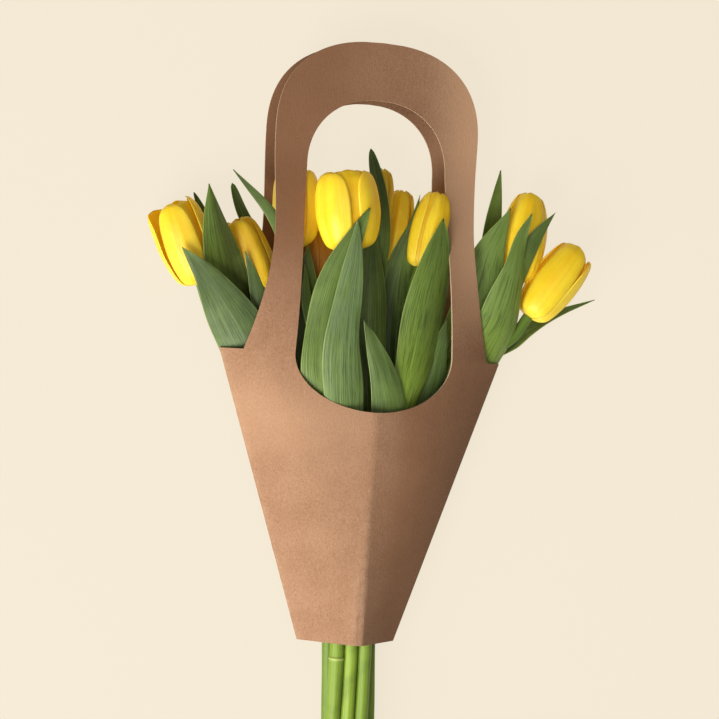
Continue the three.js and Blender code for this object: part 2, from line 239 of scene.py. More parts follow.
def blade(w, look):
    vein, along = w.mark("vein"), w.mark("along")
    bluish, fresh, olive = w.mark("bluish"), w.mark("fresh"), w.mark("olive")
    streaks = w.speckle(w.stretch(vein * 1.3, along * 0.045), 1, 3, 0.6)
    fine = w.speckle(w.stretch(vein * 3.4, along * 0.02, 5.0), 1, 1, 0.5)
    patches = w.speckle(w.place(), 55, 3, 0.5)
    drift = w.speckle(w.stretch(vein * 0.5, along * 0.01), 1, 1)
    ribs = (vein * (2 * math.pi / look["veinGap"]) + drift * 9).run("COSINE")
    dusty = w.speckle(w.stretch(vein * 0.12, along * 0.05), 1, 2, 0.5).within(0.3, 0.65)
    dashes = w.speckle(w.stretch(vein * 2.2, along * 0.12, 9.0), 1, 2, 0.6)
    colour = (bluish * (dusty * 0.5 + 0.6)).mix(look["green"], look["bluish"]).under(
        look, (fresh, "fresh"), (olive, "olive"), (streaks.within(0.46, 0.66) * 0.6, "veinDark"),
        (fine.within(0.5, 0.75) * 0.36 * (1 - olive * 0.6), "veinPale"),
        ((ribs * 0.5 + 0.5) * 0.05, "veinDark"), (patches.within(0.45, 0.8) * 0.3, "patch"),
        (dashes.within(0.58, 0.68) * 0.42, "veinDark"),
        (w.mark("margin") * 0.75 * (1 - olive * 0.5), "margin"))
    height = ribs * 0.12 + streaks * 0.9 + fine * 0.4
    return {"Base Color": colour, "Roughness": look["roughness"] + streaks * 0.2 - 0.08,
            "Normal": w.relief(height, 0.4)}


# Petals: lemon outside, golden inside and where they shade each other
petalLook = {
    "lemon": paint("#fcd22a"), "warm": paint("#fac71a"), "golden": paint("#efa60a"),
    "deep": paint("#865404"), "pale": paint("#fbdf4e"), "foot": paint("#efd058"), "roughness": 0.42,
    "shine": 0.32, "depth": (0.55, 0.005, (1.0, 0.72, 0.1)),
    "glow": 0.09,  # stands in for light that comes through a petal
}


def silk(w, look):
    across, rise, shade = w.mark("across"), w.mark("rise"), w.mark("shade")
    streaks = w.speckle(w.stretch(across * 14, rise * 1.2, w.mark("petal")), 1, 3, 0.6)
    fine = w.speckle(w.stretch(across * 46, rise * 1.6, w.mark("petal")), 1, 2, 0.5)
    cloud = w.speckle(w.place(), 110, 2, 0.5)
    aside = across.run("ABSOLUTE")
    stripe = (1 - aside.within(0.0, 0.3)) * rise.within(0.1, 0.5)
    colour = cloud.within(0.3, 0.75).mix(look["lemon"], look["warm"]).under(
        look, (streaks.within(0.45, 0.8) * 0.4, "golden"), (fine.within(0.5, 0.85) * 0.25, "pale"),
        (stripe * 0.34, "golden"), (aside * aside * 0.3, "pale"), (w.mark("margin") * 0.45, "pale"),
        ((1 - rise.within(0.0, 0.22)) * 0.5, "foot"), (w.mark("inside") * 0.85, "golden"),
        (shade, "deep"))
    height = streaks * 0.7 + fine * 0.5
    return {"Base Color": colour, "Emission Color": colour,
            "Roughness": look["roughness"] + fine * 0.16 - 0.08,
            "Normal": w.relief(height, 0.4)}


# Stems
stemLook = {
    "green": paint("#7f9b30"), "light": paint("#9cb54c"), "dark": paint("#4d6823"),
    "pith": paint("#dfe6b8"), "pithEdge": paint("#b7c981"), "scar": paint("#a9b56a"),
    "roughness": 0.42, "shine": 0.3, "depth": (0.1, 0.002, (0.6, 1.0, 0.2)),
}


def stalk(w, look):
    along, angle = w.mark("along"), w.mark("around") * (2 * math.pi)
    streaks = w.speckle(w.stretch(angle.run("SINE") * 5, angle.run("COSINE") * 5, along * 4), 1, 3, 0.6)
    cloud = w.speckle(w.place(), 70, 2, 0.5)
    # Painted shade: darker from the carrier's mouth upward, where the stem runs inside the sleeve, and
    # by each stem's own deep mark.
    colour = streaks.within(0.35, 0.75).mix(look["green"], look["light"]).under(
        look, (cloud.within(0.45, 0.8) * 0.5, "dark"), (along.within(0.3, 0.8) * 0.8, "dark"),
        (w.mark("deep"), "dark"), (w.mark("scar") * 0.7, "scar"))
    pith = w.speckle(w.place(), 1600, 2, 0.6).mix(look["pith"], look["pithEdge"])
    colour = (1 - w.mark("core").within(0.86, 0.97)).mix(colour, pith)
    return {"Base Color": colour, "Roughness": look["roughness"] + streaks * 0.15 - 0.07,
            "Normal": w.relief(streaks, 0.3)}


boardFinish = finish("kraftBoard", kraft, boardLook)
leafFinish = finish("leafBlade", blade, leafLook)
petalFinish = finish("petalSilk", silk, petalLook)
stemFinish = finish("stemSkin", stalk, stemLook)


# Puts a finished mesh in the scene for a solid of the frame.
def mount(piece, node):
    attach(piece, "root")
    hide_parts(node)


def addObject(name, data):
    made = bpy.data.objects.new(name, data)
    bpy.context.scene.collection.objects.link(made)
    return made


def storeMarks(mesh, marks, domain="POINT"):
    for key, values in marks.items():
        layer = mesh.attributes.new(key, "FLOAT", domain)
        layer.data.foreach_set("value", np.asarray(values, np.float32).ravel())


def meshPiece(name, points, faces, material, marks):
    mesh = bpy.data.meshes.new(name)
    placed = (np.asarray(points) - (0, bunch["originY"], 0)) * 0.001
    mesh.from_pydata(placed.tolist(), [], [list(map(int, face)) for face in faces])
    storeMarks(mesh, marks)
    mesh.shade_smooth()
    mesh.materials.append(material)
    return addObject(name, mesh)


# Closes a grid of points into a thin sheet: an outer face, an inner face and a rim.
def sheet(spots, thickness, normals=None):
    if normals is None:
        normals = unit(np.cross(np.gradient(spots, axis=0), np.gradient(spots, axis=1)))
    rows, columns = spots.shape[:2]
    half = normals * (thickness / 2)[..., None]
    points = np.concatenate([(spots + half).reshape(-1, 3), (spots - half).reshape(-1, 3)])
    ids = np.arange(rows * columns).reshape(rows, columns)
    a, b, c, d = ids[:-1, :-1], ids[1:, :-1], ids[1:, 1:], ids[:-1, 1:]
    outer = np.stack([a, b, c, d], -1).reshape(-1, 4)
    inner = np.stack([a, d, c, b], -1).reshape(-1, 4) + rows * columns
    loop = np.concatenate([ids[:-1, 0], ids[-1, :-1], ids[:0:-1, -1], ids[0, :0:-1]])
    ahead = np.roll(loop, -1)
    rim = np.stack([ahead, loop, loop + rows * columns, ahead + rows * columns], -1)
    return points, np.concatenate([outer, inner, rim])


# Carrier: one board folded at both sides, with a handle arch in each panel.
carrier = {
    "thickness": 0.9, "foldZ": 16, "mouthHalf": 29, "shoulderHalf": 85, "shoulderY": 165,
    "legFootHalf": 73.5, "legHalf": 60, "legStraightY": 240, "legSweep": 1.75, "archHalf": 61.4,
    "archStartY": 292, "archTopY": 346, "archPower": 2.4, "openBottomY": 133.2, "openFootHalf": 47,
    "openHeadHalf": 42, "openHeadY": 272, "openTopY": 312.5, "openPower": 2.2, "mouthRise": 25,
    "rise": 32, "topRise": 5.5, "flatMouthHalf": 14, "flatShoulderHalf": 45, "backPower": 1.6,
    "facetHalf": 2.4, "facetTopY": 120, "facetDrop": 0.35, "creaseLeft": 0.3, "foldWear": 1.2,
    "ridgeWear": 2.2, "bandColumns": 26, "rowGap": 3, "crisp": 32,
}


def roundOff(share, power):
    return max(0, 1 - max(0, share) ** power) ** (1 / power)


# How far y is from one of the carrier's levels to another.
def between(y, low, high):
    return (y - carrier[low]) / (carrier[high] - carrier[low])


def foldX(y):
    return blend(carrier["mouthHalf"], carrier["shoulderHalf"], min(1, y / carrier["shoulderY"]))


def legX(y):
    c = carrier
    if y < c["shoulderY"]:
        return foldX(y) * c["legFootHalf"] / c["shoulderHalf"]
    if y > c["archStartY"]:
        return c["archHalf"] * roundOff(between(y, "archStartY", "archTopY"), c["archPower"])
    if y > c["legStraightY"]:
        return blend(c["legHalf"], c["archHalf"], float(ease(y, c["legStraightY"], c["archStartY"])))
    rest = 1 - between(y, "shoulderY", "legStraightY")
    return blend(c["legHalf"], c["legFootHalf"], rest ** c["legSweep"])


def openingX(y):
    c = carrier
    if y <= c["openBottomY"] or y >= c["openTopY"]:
        return 0
    if y < c["shoulderY"]:
        return c["openFootHalf"] * roundOff(1 - between(y, "openBottomY", "shoulderY"), 2)
    if y > c["openHeadY"]:
        return c["openHeadHalf"] * roundOff(between(y, "openHeadY", "openTopY"), c["openPower"])
    return blend(c["openFootHalf"], c["openHeadHalf"], between(y, "shoulderY", "openHeadY"))


def frontZ(x, y):
    c = carrier
    if y < c["shoulderY"]:
        rise, bow = blend(c["mouthRise"], c["rise"], ease(y, 0, c["openBottomY"])), 1
    else:
        rise = blend(c["rise"], c["topRise"], ease(y, c["shoulderY"], c["archStartY"] - 5))
        bow = 1 - ease(y, c["shoulderY"], c["archStartY"] + 10)
    facet = c["facetHalf"] * (1 - ease(y, 0, c["facetTopY"]))
    share = max(0, abs(x) - facet) / (foldX(y) - facet)
    crease = blend(1, c["creaseLeft"], ease(y, 0, c["openBottomY"]))
    fall = crease * share + (1 - crease) * share ** 3
    return c["foldZ"] + (rise - facet * c["facetDrop"]) * (1 - bow * fall)


def backZ(x, y):
    c = carrier
    flat = blend(c["flatMouthHalf"], c["flatShoulderHalf"], min(1, y / c["shoulderY"]))
    share = min(1, max(0, (abs(x) - flat) / (foldX(y) - flat)))
    bow = 1 if y < c["shoulderY"] else 1 - ease(y, c["shoulderY"], c["legStraightY"])
    return blend(c["thickness"] / 2, c["foldZ"], bow * share ** c["backPower"])


def carrierRows():
    c = carrier
    rows = set(np.arange(0, c["archTopY"] - 1, c["rowGap"]))
    for turn in np.linspace(0, math.pi / 2, 25):
        rows.add(blend(c["shoulderY"], c["openBottomY"], math.cos(turn)))
        rows.add(blend(c["openHeadY"], c["openTopY"], math.sin(turn)))
        rows.add(blend(c["archStartY"], c["archTopY"], math.sin(turn)))
    kept = []
    keys = [0, c["openBottomY"], c["shoulderY"], c["openTopY"], c["archTopY"]]
    for y in sorted(rows | set(keys)):
        near = kept and y - kept[-1] < 0.12
        if near and y in keys:
            kept[-1] = y
        elif not near:
            kept.append(y)
    return kept


def carrierRow(y):
    c = carrier
    outer, inner = legX(y), openingX(y)
    xs = [blend(outer, inner, i / c["bandColumns"]) for i in range(c["bandColumns"] + 1)]
    if y > c["shoulderY"]:
        return [None] * 4 + xs
    return [blend(foldX(y), outer, share) for share in (0, 0.06, 0.35, 0.68)] + xs


def makeCarrier():
    c = carrier
    spots, faces, known = [], [], {}

    def index(x, y, z):
        key = (round(x, 3), round(y, 3), round(z, 3))
        if key not in known:
            known[key] = len(spots)
            spots.append((x, y, z))
        return known[key]

    levels = carrierRows()
    for height, upwards in ((frontZ, True), (backZ, False)):
        for side in (-1, 1):
            rows = []
            for y in levels:
                row = [x if x is None else (side * x, y, float(height(x, y))) for x in carrierRow(y)]
                if row[0]:
                    row[0] = (*row[0][:2], c["foldZ"])
                rows.append([spot and index(*spot) for spot in row])
            for low, high in zip(rows, rows[1:]):
                for i in range(1, len(low)):
                    corners = [low[i - 1], low[i], high[i], high[i - 1]]
                    if None in corners:
                        continue
                    if upwards == (side > 0):
                        corners.reverse()
                    kept = [v for j, v in enumerate(corners) if v != corners[j - 1]]
                    if len(kept) > 2:
                        faces.append(kept)
    spots = np.array(spots)
    normals = np.zeros_like(spots)
    edges = {}
    for face in faces:
        corners = spots[face]
        normal = np.cross(corners[1] - corners[0], corners[2] - corners[0])
        if len(face) == 4:
            normal = normal + np.cross(corners[2] - corners[0], corners[3] - corners[0])
        for j, v in enumerate(face):
            normals[v] += normal
            ahead = face[(j + 1) % len(face)]
            if edges.pop((ahead, v), None) is None:
                edges[(v, ahead)] = True
    normals = unit(normals)
    count = len(spots)
    points = np.concatenate([spots + normals * c["thickness"] / 2, spots - normals * c["thickness"] / 2])
    inner = [[v + count for v in reversed(face)] for face in faces]
    rim = [[b, a, a + count, b + count] for a, b in edges]
    x, y, z = spots.T
    beside = np.array([foldX(level) for level in y]) - np.abs(x)
    worn = np.exp(-np.abs(beside) / c["foldWear"]) * (y <= c["shoulderY"] + 0.01)
    ridge = np.exp(-np.abs(x) / c["ridgeWear"]) * (z > c["foldZ"]) * (1 - ease(y, 20, 125))
    # Painted shadow on the left leg and the arch, and painted shade on the right face of the lower
    # front.
    leftLeg = ease(y, 165, 250) * ease(-x, -50, 45)
    rightSide = 0.8 * ease(x, 3, 25) * (1 - ease(y, 150, 190))
    # Painted light on the right leg and on a patch of the left front just below the opening.
    rightLeg = ease(y, 168, 225) * ease(x, 25, 62)
    lip = 0.4 * bump(y, 128, 24) * ease(-x, -6, 10)
    marks = {"fold": np.maximum(worn, ridge), "paintedShade": np.maximum(leftLeg, rightSide),
             "fresh": np.maximum(rightLeg, lip)}
    marks = {key: np.tile(value, 2) for key, value in marks.items()}
    piece = meshPiece("carrier_board", points, faces + inner + rim, boardFinish, marks)
    storeMarks(piece.data, {"cutEdge": [0] * (2 * len(faces)) + [1] * len(rim)}, "FACE")
    piece.data.set_sharp_from_angle(angle=math.radians(c["crisp"]))
    mount(piece, "carrier")
    print("carrier:", len(faces), "faces a side")


makeCarrier()

# The tulips, from left to right. A stem runs from its cut end through the carrier's mouth to the bloom.
# A leaf sits at a share of the stem and faces out at one angle there and another further up. Its look
# is how bluish, fresh and olive it is, and wider is what each side gains at its bulge.
tulips = [
    dict(cut=-90, mouth=(-9.45, 12.6), via=[(-46, 110, 13), (-71, 165, 14)], base=(-98.5, 200, 17),
         tip=(-118, 244, 18.5), radius=14.5, open=0.05, turn=62, shade=0.18, stemShade=0.7, scar=38,
         petals={0: dict(half=43, reach=0.98, flare=-0.3),
         2: dict(turn=14, flare=5.4, half=58, reach=1.02),
         1: dict(turn=-10, flare=0.2, reach=1.05, half=50), 3: dict(inset=2.6, reach=0.96),
         5: dict(inset=5, reach=0.95), 4: dict(reach=0.97)}, leaves=[
        dict(at=0.52, out=(0, -18), half=13, look=(0.85, 0.05, 0.4), wave=0.8, wider=(6, 2.5),
             bulge=0.64, spine=[(-58, 141, 24), (-68.5, 166, 22), (-84, 187, 27), (-99, 204, 33.5),
             (-115, 219, 36.5)]),
        dict(at=0.8, out=(150, 180), half=3.6, look=(0.3, 0, 0.5), taper=0.6, spine=[(-78.3, 178, 10.4),
             (-84, 210, 5.5), (-95, 236, 7), (-104, 252, 9)])]),
    dict(cut=-94, mouth=(-5.3, 5.3), via=[(-46, 165, 12)], base=(-60, 198, 14), tip=(-80, 237, 14.5),
         radius=12, turn=68, shade=0.5, stemShade=0.4, leaves=[
        dict(at=0.62, out=(210, 186), half=9.6, cup=0.24, look=(0.1, 0.9, 0.9), wider=(0, 14),
             bulge=0.76, sideShade=1.6, spine=[(-55, 165, 5.8), (-62.3, 176, 8.5), (-73, 190, 15.5),
             (-84, 213, 26.5), (-93.5, 235, 29), (-100, 256, 28)]),
        dict(at=0.74, out=(90, 180), half=3.6, look=(0.2, 0.25, 0.4), taper=0.42, spine=[(-44, 180, 5),
             (-56, 211, 4.5), (-65, 228, 5), (-74.5, 243, 7), (-82, 259, 9)])]),
    dict(cut=-88, mouth=(-5.3, 19.9), base=(-42.3, 225, 13.2), tip=(-45.8, 269, 12.6), radius=14,
         depth=0.81, turn=40, shade=0.1, stemShade=0.4, thick=1.16, footShift=-6, scar=78, leaves=[
        dict(at=0.52, out=(-30, 0), half=7, look=(0.7, 0, 0.4), wider=(1.5, 2), bulge=0.7,
             spine=[(-33.5, 124, 20.3), (-44, 150, 19.3), (-57, 176, 20.5), (-65, 193, 22.5),
             (-71, 207, 26), (-77, 220, 28.5)]),
        dict(at=0.7, out=(50, 20), half=5, look=(0.3, 0.5, 0.15), spine=[(-23.7, 156, 26),
             (-31, 174, 28), (-38, 190, 29), (-41.5, 215, 28.5)])]),
    dict(cut=-96, mouth=(-1.15, 12.6), base=(-24, 198, 12), tip=(-27, 235, 12), radius=12.4, depth=0.86,
         turn=10, shade=1, leaves=[
        dict(at=0.6, out=(-10, -10), half=6, look=(0.35, 0.1, 0.45), spine=[(-15, 108, 24),
             (-24, 126, 24), (-36.2, 145, 22.5), (-38.8, 165, 21.5), (-41, 192, 21), (-48, 212, 22.5),
             (-54, 229, 25.3), (-63, 243.5, 24), (-84, 266, 18)]),
        dict(at=0.75, out=(40, 0), half=4.6, look=(0.2, 0.25, 0.6), wider=(9, 1), bulge=0.76,
             spine=[(-18.5, 152, 17.8), (-28, 175, 22), (-35.5, 200, 24.8), (-39.5, 227, 26)])]),
    dict(cut=-91, mouth=(3, 19.9), base=(-17.2, 224, 36), tip=(-24.4, 268, 37), radius=18, depth=0.85,
         open=0.06, turn=28, thick=1.1, footShift=-5.5, petals={1: dict(flare=0.8, roll=0.9, half=50),
         0: dict(half=54), 3: dict(reach=1.04, inset=1.6)}, leaves=[
        dict(at=0.56, out=(-60, -5), half=13, look=(0.15, 0.35, 0.25), wave=0.7, wider=(-1.5, 0),
             bulge=0.68, ripple=0.7, spine=[(-25, 134, 40), (-31, 155, 42), (-32, 184, 45),
             (-27, 215, 49), (-19, 235, 53), (-13, 248, 54)]),
        dict(at=0.42, out=(15, 0), half=12, look=(0.95, 0.4, 0), wave=0.5, ripple=1.1,
             spine=[(-18, 135, 44), (-21, 168, 46), (-21.3, 196, 49), (-19.6, 224, 53),
             (-20.3, 241, 56)])]),
    dict(cut=-95, mouth=(3, 5.3), base=(0.6, 230, 17.5), tip=(4.8, 273, 18), radius=9.3, close=0.25,
         turn=55, shade=0.5, leaves=[
        dict(at=0.62, out=(20, 0), half=5.4, look=(0.2, 0.15, 0.6), taper=0.5, spine=[(3, 145, 20),
             (3, 170, 22.8), (3, 190, 24), (3.2, 215, 24.5), (4.4, 232, 25.5), (1.8, 252, 29.5),
             (-5.8, 284, 27)])]),
    dict(cut=-93, mouth=(7.15, 12.6), base=(15.8, 221, 9.9), tip=(20.8, 262, 9.9), radius=9.2,
         close=0.1, turn=60, shade=0.5, leaves=[
        dict(at=0.55, out=(-20, 5), half=7.5, look=(0.2, 0.25, 0.45), wider=(10, 1.5), bulge=0.7,
             ripple=0.9, spine=[(4, 140, 29), (2, 186, 28.5), (0.3, 215, 28.5), (-3, 247, 28.5)]),
        dict(at=0.62, out=(20, -5), half=7, look=(0.4, 0.1, 0.5), wave=1.1, wider=(3, 11), bulge=0.54,
             ripple=1, taper=1.1, spine=[(16, 152, 19), (16.5, 181, 18), (17.5, 208, 18.5),
             (20, 228, 20), (24.5, 243, 20.6), (28.3, 260.5, 20)])]),
    dict(cut=-89, mouth=(11.3, 19.9), base=(29.6, 218, 22), tip=(40, 261.5, 18.8), radius=11.2,
         close=0.2, turn=112, shade=0.05, stemShade=0.45, thick=1.1, footShift=-5, leaves=[
        dict(at=0.5, out=(20, 18), half=10.5, look=(0.35, 1.2, 0), wave=0.5, wider=(3.5, 16),
             bulge=0.79, belly=0.66, spine=[(20, 144, 40), (25, 172, 40), (30.5, 205, 38),
             (35, 228, 36.5), (38.5, 247, 34)]),
        dict(at=0.42, out=(0, 0), half=11, look=(0.45, 0.2, 0.25), wave=0.4, wider=(3, 6), bulge=0.3,
             spine=[(11, 120, 42), (8.5, 137, 44), (3.5, 155, 46.5), (-4.5, 171, 50), (-12.3, 185, 53)]),
        dict(at=0.64, out=(60, 10), half=8, look=(0.6, 0.35, 0.05), wider=(4, 3),
             spine=[(26, 126, 26.5), (35, 142, 28.5), (41.5, 168, 30), (46, 189, 29)])]),
    dict(cut=-92, mouth=(11.3, 5.3), via=[(46, 110, 11.6), (64.2, 165, 12.3)], base=(94, 214, 15),
         tip=(99.5, 266.5, 15), radius=13.2, close=0.3, turn=70, shade=0.12, stemShade=0.4, scar=52,
         petals={0: dict(half=58, reach=1.02), 1: dict(turn=-10, reach=0.95),
         3: dict(reach=0.98)}, leaves=[
        dict(at=0.62, out=(215, 180), half=9, look=(0.1, 0.8, 0.4), spine=[(50, 138, 6.8),
             (58.5, 165, 8), (67, 185, 8.6), (74, 205, 8), (78.5, 226, 6.5), (80, 253, 8),
             (80.8, 280, 12)]),
        dict(at=0.55, out=(-60, 0), half=9.5, look=(0.7, 1.2, 0), wider=(11.5, 3), bulge=0.76,
             ripple=0.7, spine=[(38.5, 122, 17), (47.8, 145, 17), (57.5, 165, 17.6), (71, 200, 22),
             (75, 229, 24), (83, 257, 26)])]),
    dict(cut=-94, mouth=(15.45, 12.6), via=[(52, 110, 17.2), (72, 165, 15.4)], base=(101, 194, 18.5),
         tip=(128.6, 235.5, 22), radius=13.4, open=0.02, close=0.1, turn=68, shade=0.1, stemShade=0.6,
         petals={1: dict(turn=-14, flare=3.2, roll=0.6), 0: dict(half=54, reach=1.04),
         3: dict(reach=0.97, inset=2)}, leaves=[
        dict(at=0.62, out=(-10, 12), half=10, look=(0.55, 1, 0), wave=0.5, wider=(4, 10), bulge=0.48,
             ripple=0.7, spine=[(55, 131, 24.5), (60, 146, 24), (68, 166, 23.6), (78, 191, 29.5),
             (84, 218, 32.5), (87, 238, 34), (93, 254, 35)]),
        dict(at=0.78, out=(0, 10), half=5.8, look=(0.4, 0.2, 0.35), wider=(4, 1), bulge=0.72,
             spine=[(71, 166, 21.1), (80.5, 190, 24.8), (87.5, 212, 28.4), (94, 230, 30),
             (101, 244, 31), (109, 256, 32)]),
        dict(at=0.7, out=(135, 150), half=2.9, look=(0.3, 0.15, 0.45), wider=(1.5, 2), bulge=0.6,
             spine=[(72, 146, 13.7), (75.8, 156, 14.8), (78.7, 167, 16.1), (84.5, 171.8, 11.8),
             (91, 175.5, 9.5), (97, 179, 9), (106, 186, 8), (124, 197, 5.5), (150, 207.5, 4.5)])]),
]

# Stems: each centre line becomes a tube, with a pale cut end and a scar where a lower leaf came off.
stem = {
    "radius": 3.8, "neckRadius": 3.1, "lean": 5, "neckLength": 16, "steps": 150, "sides": 22, "ribs": 7,
    "ribDepth": 0.05, "scarWidth": 0.7, "scarHeight": 0.55, "scarDrop": 0.2, "shade": 0.1,
    "sway": ((0.02, 19, 1), (0.012, 47, 2)),
    "cutRings": [(0, 0.04), (0.00008, 0.55), (0.00016, 0.93), (0.0006, 1)],  # share of length, of girth
}


def bloomAxis(tulip):
    base, tip = (np.array(tulip[key], float) for key in ("base", "tip"))
    return base, unit(tip - base), np.linalg.norm(tip - base)


def stemPath(tulip):
    x, z = tulip["mouth"]
    base, axis, _ = bloomAxis(tulip)
    start = [(x + stem["lean"], tulip["cut"], z), (x, 0, z), (x - 0.3 * stem["lean"], 24, z)]
    return Path([*start, *tulip.get("via", []), base - axis * stem["neckLength"], base])


def stemRadiusAt(share):
    return float(blend(stem["radius"], stem["neckRadius"], ease(share, 0.3, 1)))


# Starts a tree with named inputs. Its adder takes a node's sockets by name, or by number as i0, i1, and
# links a socket that is given as a value.
def newTree(name, kinds):
    tree = bpy.data.node_groups.new(name, "GeometryNodeTree")
    tree.interface.new_socket("Geometry", in_out="OUTPUT", socket_type="NodeSocketGeometry")
    inputs = {}
    for key, kind in kinds.items():
        socket = tree.interface.new_socket(key, in_out="INPUT", socket_type="NodeSocket" + kind)
        inputs[key] = socket.identifier

    def add(kind, settings=None, **sockets):
        node = tree.nodes.new(kind if "Node" in kind else "GeometryNode" + kind)
        for key, value in (settings or {}).items():
            setattr(node, key, value)
        for key, value in sockets.items():
            target = node.inputs[int(key[1:]) if key[1:].isdigit() else key.replace("_", " ")]
            if isinstance(value, bpy.types.NodeSocket):
                tree.links.new(value, target)
            else:
                target.default_value = value
        return node.outputs

    return tree, inputs, add, add("NodeGroupInput")


def endTree(tree, add, shape, material):
    real = add("RealizeInstances", Geometry=shape)[0]
    smooth = add("SetShadeSmooth", Geometry=real)[0]
    done = add("SetMaterial", Geometry=smooth, Material=material)[0]
    tree.links.new(done, tree.nodes.new("NodeGroupOutput").inputs[0])


def maths(add, operation, *values):
    sockets = {f"i{place}": value for place, value in enumerate(values)}
    return add("ShaderNodeMath", {"operation": operation}, **sockets)[0]


def stemTree():
    tree, inputs, add, given = newTree("stemTube", {
        "Path": "Geometry", "Sides": "Int", "Ribs": "Int", "Rib depth": "Float", "Finish": "Material"})
    floats = {"data_type": "FLOAT"}
    girth, around, core = (add("InputNamedAttribute", floats, Name=name)[0]
                           for name in ("girth", "around", "core"))
    line = add("MeshToCurve", Mesh=given["Path"])[0]
    ring = add("CurvePrimitiveCircle", Resolution=given["Sides"], Radius=1.0)[0]
    turn = add("SplineParameter")["Factor"]
    marked = add("StoreNamedAttribute", {**floats, "domain": "POINT"}, Geometry=ring,
                 Name="around", Value=turn)[0]
    tube = add("CurveToMesh", Curve=line, Profile_Curve=marked, Scale=girth,
               Fill_Caps=True)[0]
    angle = maths(add, "MULTIPLY", maths(add, "MULTIPLY", around, given["Ribs"]), 2 * math.pi)
    wave = maths(add, "MULTIPLY", maths(add, "COSINE", angle), given["Rib depth"])
    push = add("ShaderNodeVectorMath", {"operation": "SCALE"}, i0=add("InputNormal")[0],
               Scale=maths(add, "MULTIPLY", wave, core))[0]
    endTree(tree, add, add("SetPosition", Geometry=tube, Offset=push)[0], given["Finish"])
    return tree, inputs


# Runs a tree on a start mesh and keeps the result as a plain mesh.
def grown(name, startMesh, tree, inputs, values):
    seed = addObject(name + "_start", startMesh)
    modifier = seed.modifiers.new("grow", "NODES")
    modifier.node_group = tree
    for key, value in values.items():
        modifier[inputs[key]] = value
    bpy.context.view_layer.update()
    graph = bpy.context.evaluated_depsgraph_get()
    mesh = bpy.data.meshes.new_from_object(seed.evaluated_get(graph), depsgraph=graph)
    seed.modifiers.clear()
    bpy.data.objects.remove(seed)
    mesh.name = name
    for i in reversed(range(len(mesh.materials))):
        if mesh.materials[i] is None:  # joined shapes bring an empty slot
            mesh.materials.pop(index=i)
    return addObject(name, mesh)


def makeStem(name, number, tulip, tube):
    path = stemPath(tulip)
    firstShares, firstCores = zip(*stem["cutRings"])
    shares = [*firstShares, *np.linspace(0.002, 1, stem["steps"])]
    scarAt = tulip.get("scar")
    if scarAt:
        shares = sorted(shares + [scarAt / path.length + step * 0.0008 for step in range(-9, 10)])
    cores = [*firstCores, *[1] * (len(shares) - len(firstCores))]
    spots, girths, scars = [], [], []
    for share, core in zip(shares, cores):
        spot = path.at(share)
        sway = sum(size * math.sin(share * pace + step * number) for size, pace, step in stem["sway"])
        thick = blend(tulip.get("thick", 1), 1, float(ease(share, 0.3, 0.45)))
        girth = stemRadiusAt(share) * (1 + sway) * thick
        scar = 0
        if scarAt:
            above = share * path.length - scarAt
            scar = math.exp(-((above / stem["scarWidth"]) ** 2))
            girth -= float(ease(above, -1.0, 0.2)) * stem["scarDrop"]
        shift = tulip.get("footShift", 0) * float(ease(-spot[1], -30, 110))
        spots.append((spot + (shift, -bunch["originY"], 0)) * 0.001)
        girths.append((girth * core + scar * stem["scarHeight"]) * 0.001)
        scars.append(scar)
    start = bpy.data.meshes.new(name + "_line")
    start.from_pydata([tuple(s) for s in spots], [(i, i + 1) for i in range(len(spots) - 1)], [])
    # deep: how far the whole stem is darkened as painted shade.
    storeMarks(start, {"girth": girths, "along": shares, "core": cores, "scar": scars,
                       "deep": [tulip.get("stemShade", stem["shade"])] * len(spots)})
    piece = grown(name + "_stalk", start, *tube, {
        "Sides": stem["sides"], "Ribs": stem["ribs"], "Rib depth": stem["ribDepth"] * 0.001,
        "Finish": stemFinish})
    mount(piece, name + "_stem")
    return path


# Leaves: a clasping base, a broad cupped middle with parallel veins, and a drawn-out point.
leafForm = {
    "rows": 96, "columns": 44, "crowding": 0.92, "thickness": 0.75, "marginThickness": 0.25,
    "standThickness": 0.8, "sheathHalf": 5, "sheathLength": 14, "belly": 0.48, "cup": 0.35, "taper": 0.9,
    "wave": 0.25, "ripple": 0.35, "bulge": 0.5, "bulgeWidth": 0.27, "keel": 0.5, "ribDepth": 0.03,
    "ribGap": 2.6,
}


def leafHalf(share, half, taper, belly):
    lower = blend(min(leafForm["sheathHalf"], 0.8 * half), half, ease(share, 0.05, belly))
    rest = np.clip((share - belly) / (1 - belly), 0, 1)
    upper = half * (1 - rest) ** taper * (1 + 0.9 * rest)
    return float(lower if share < belly else max(0.12, upper))


def facing(angle, tangent):
    turn = math.radians(angle)
    out = np.array([math.sin(turn), 0, math.cos(turn)])
    return unit(out - tangent * out.dot(tangent))


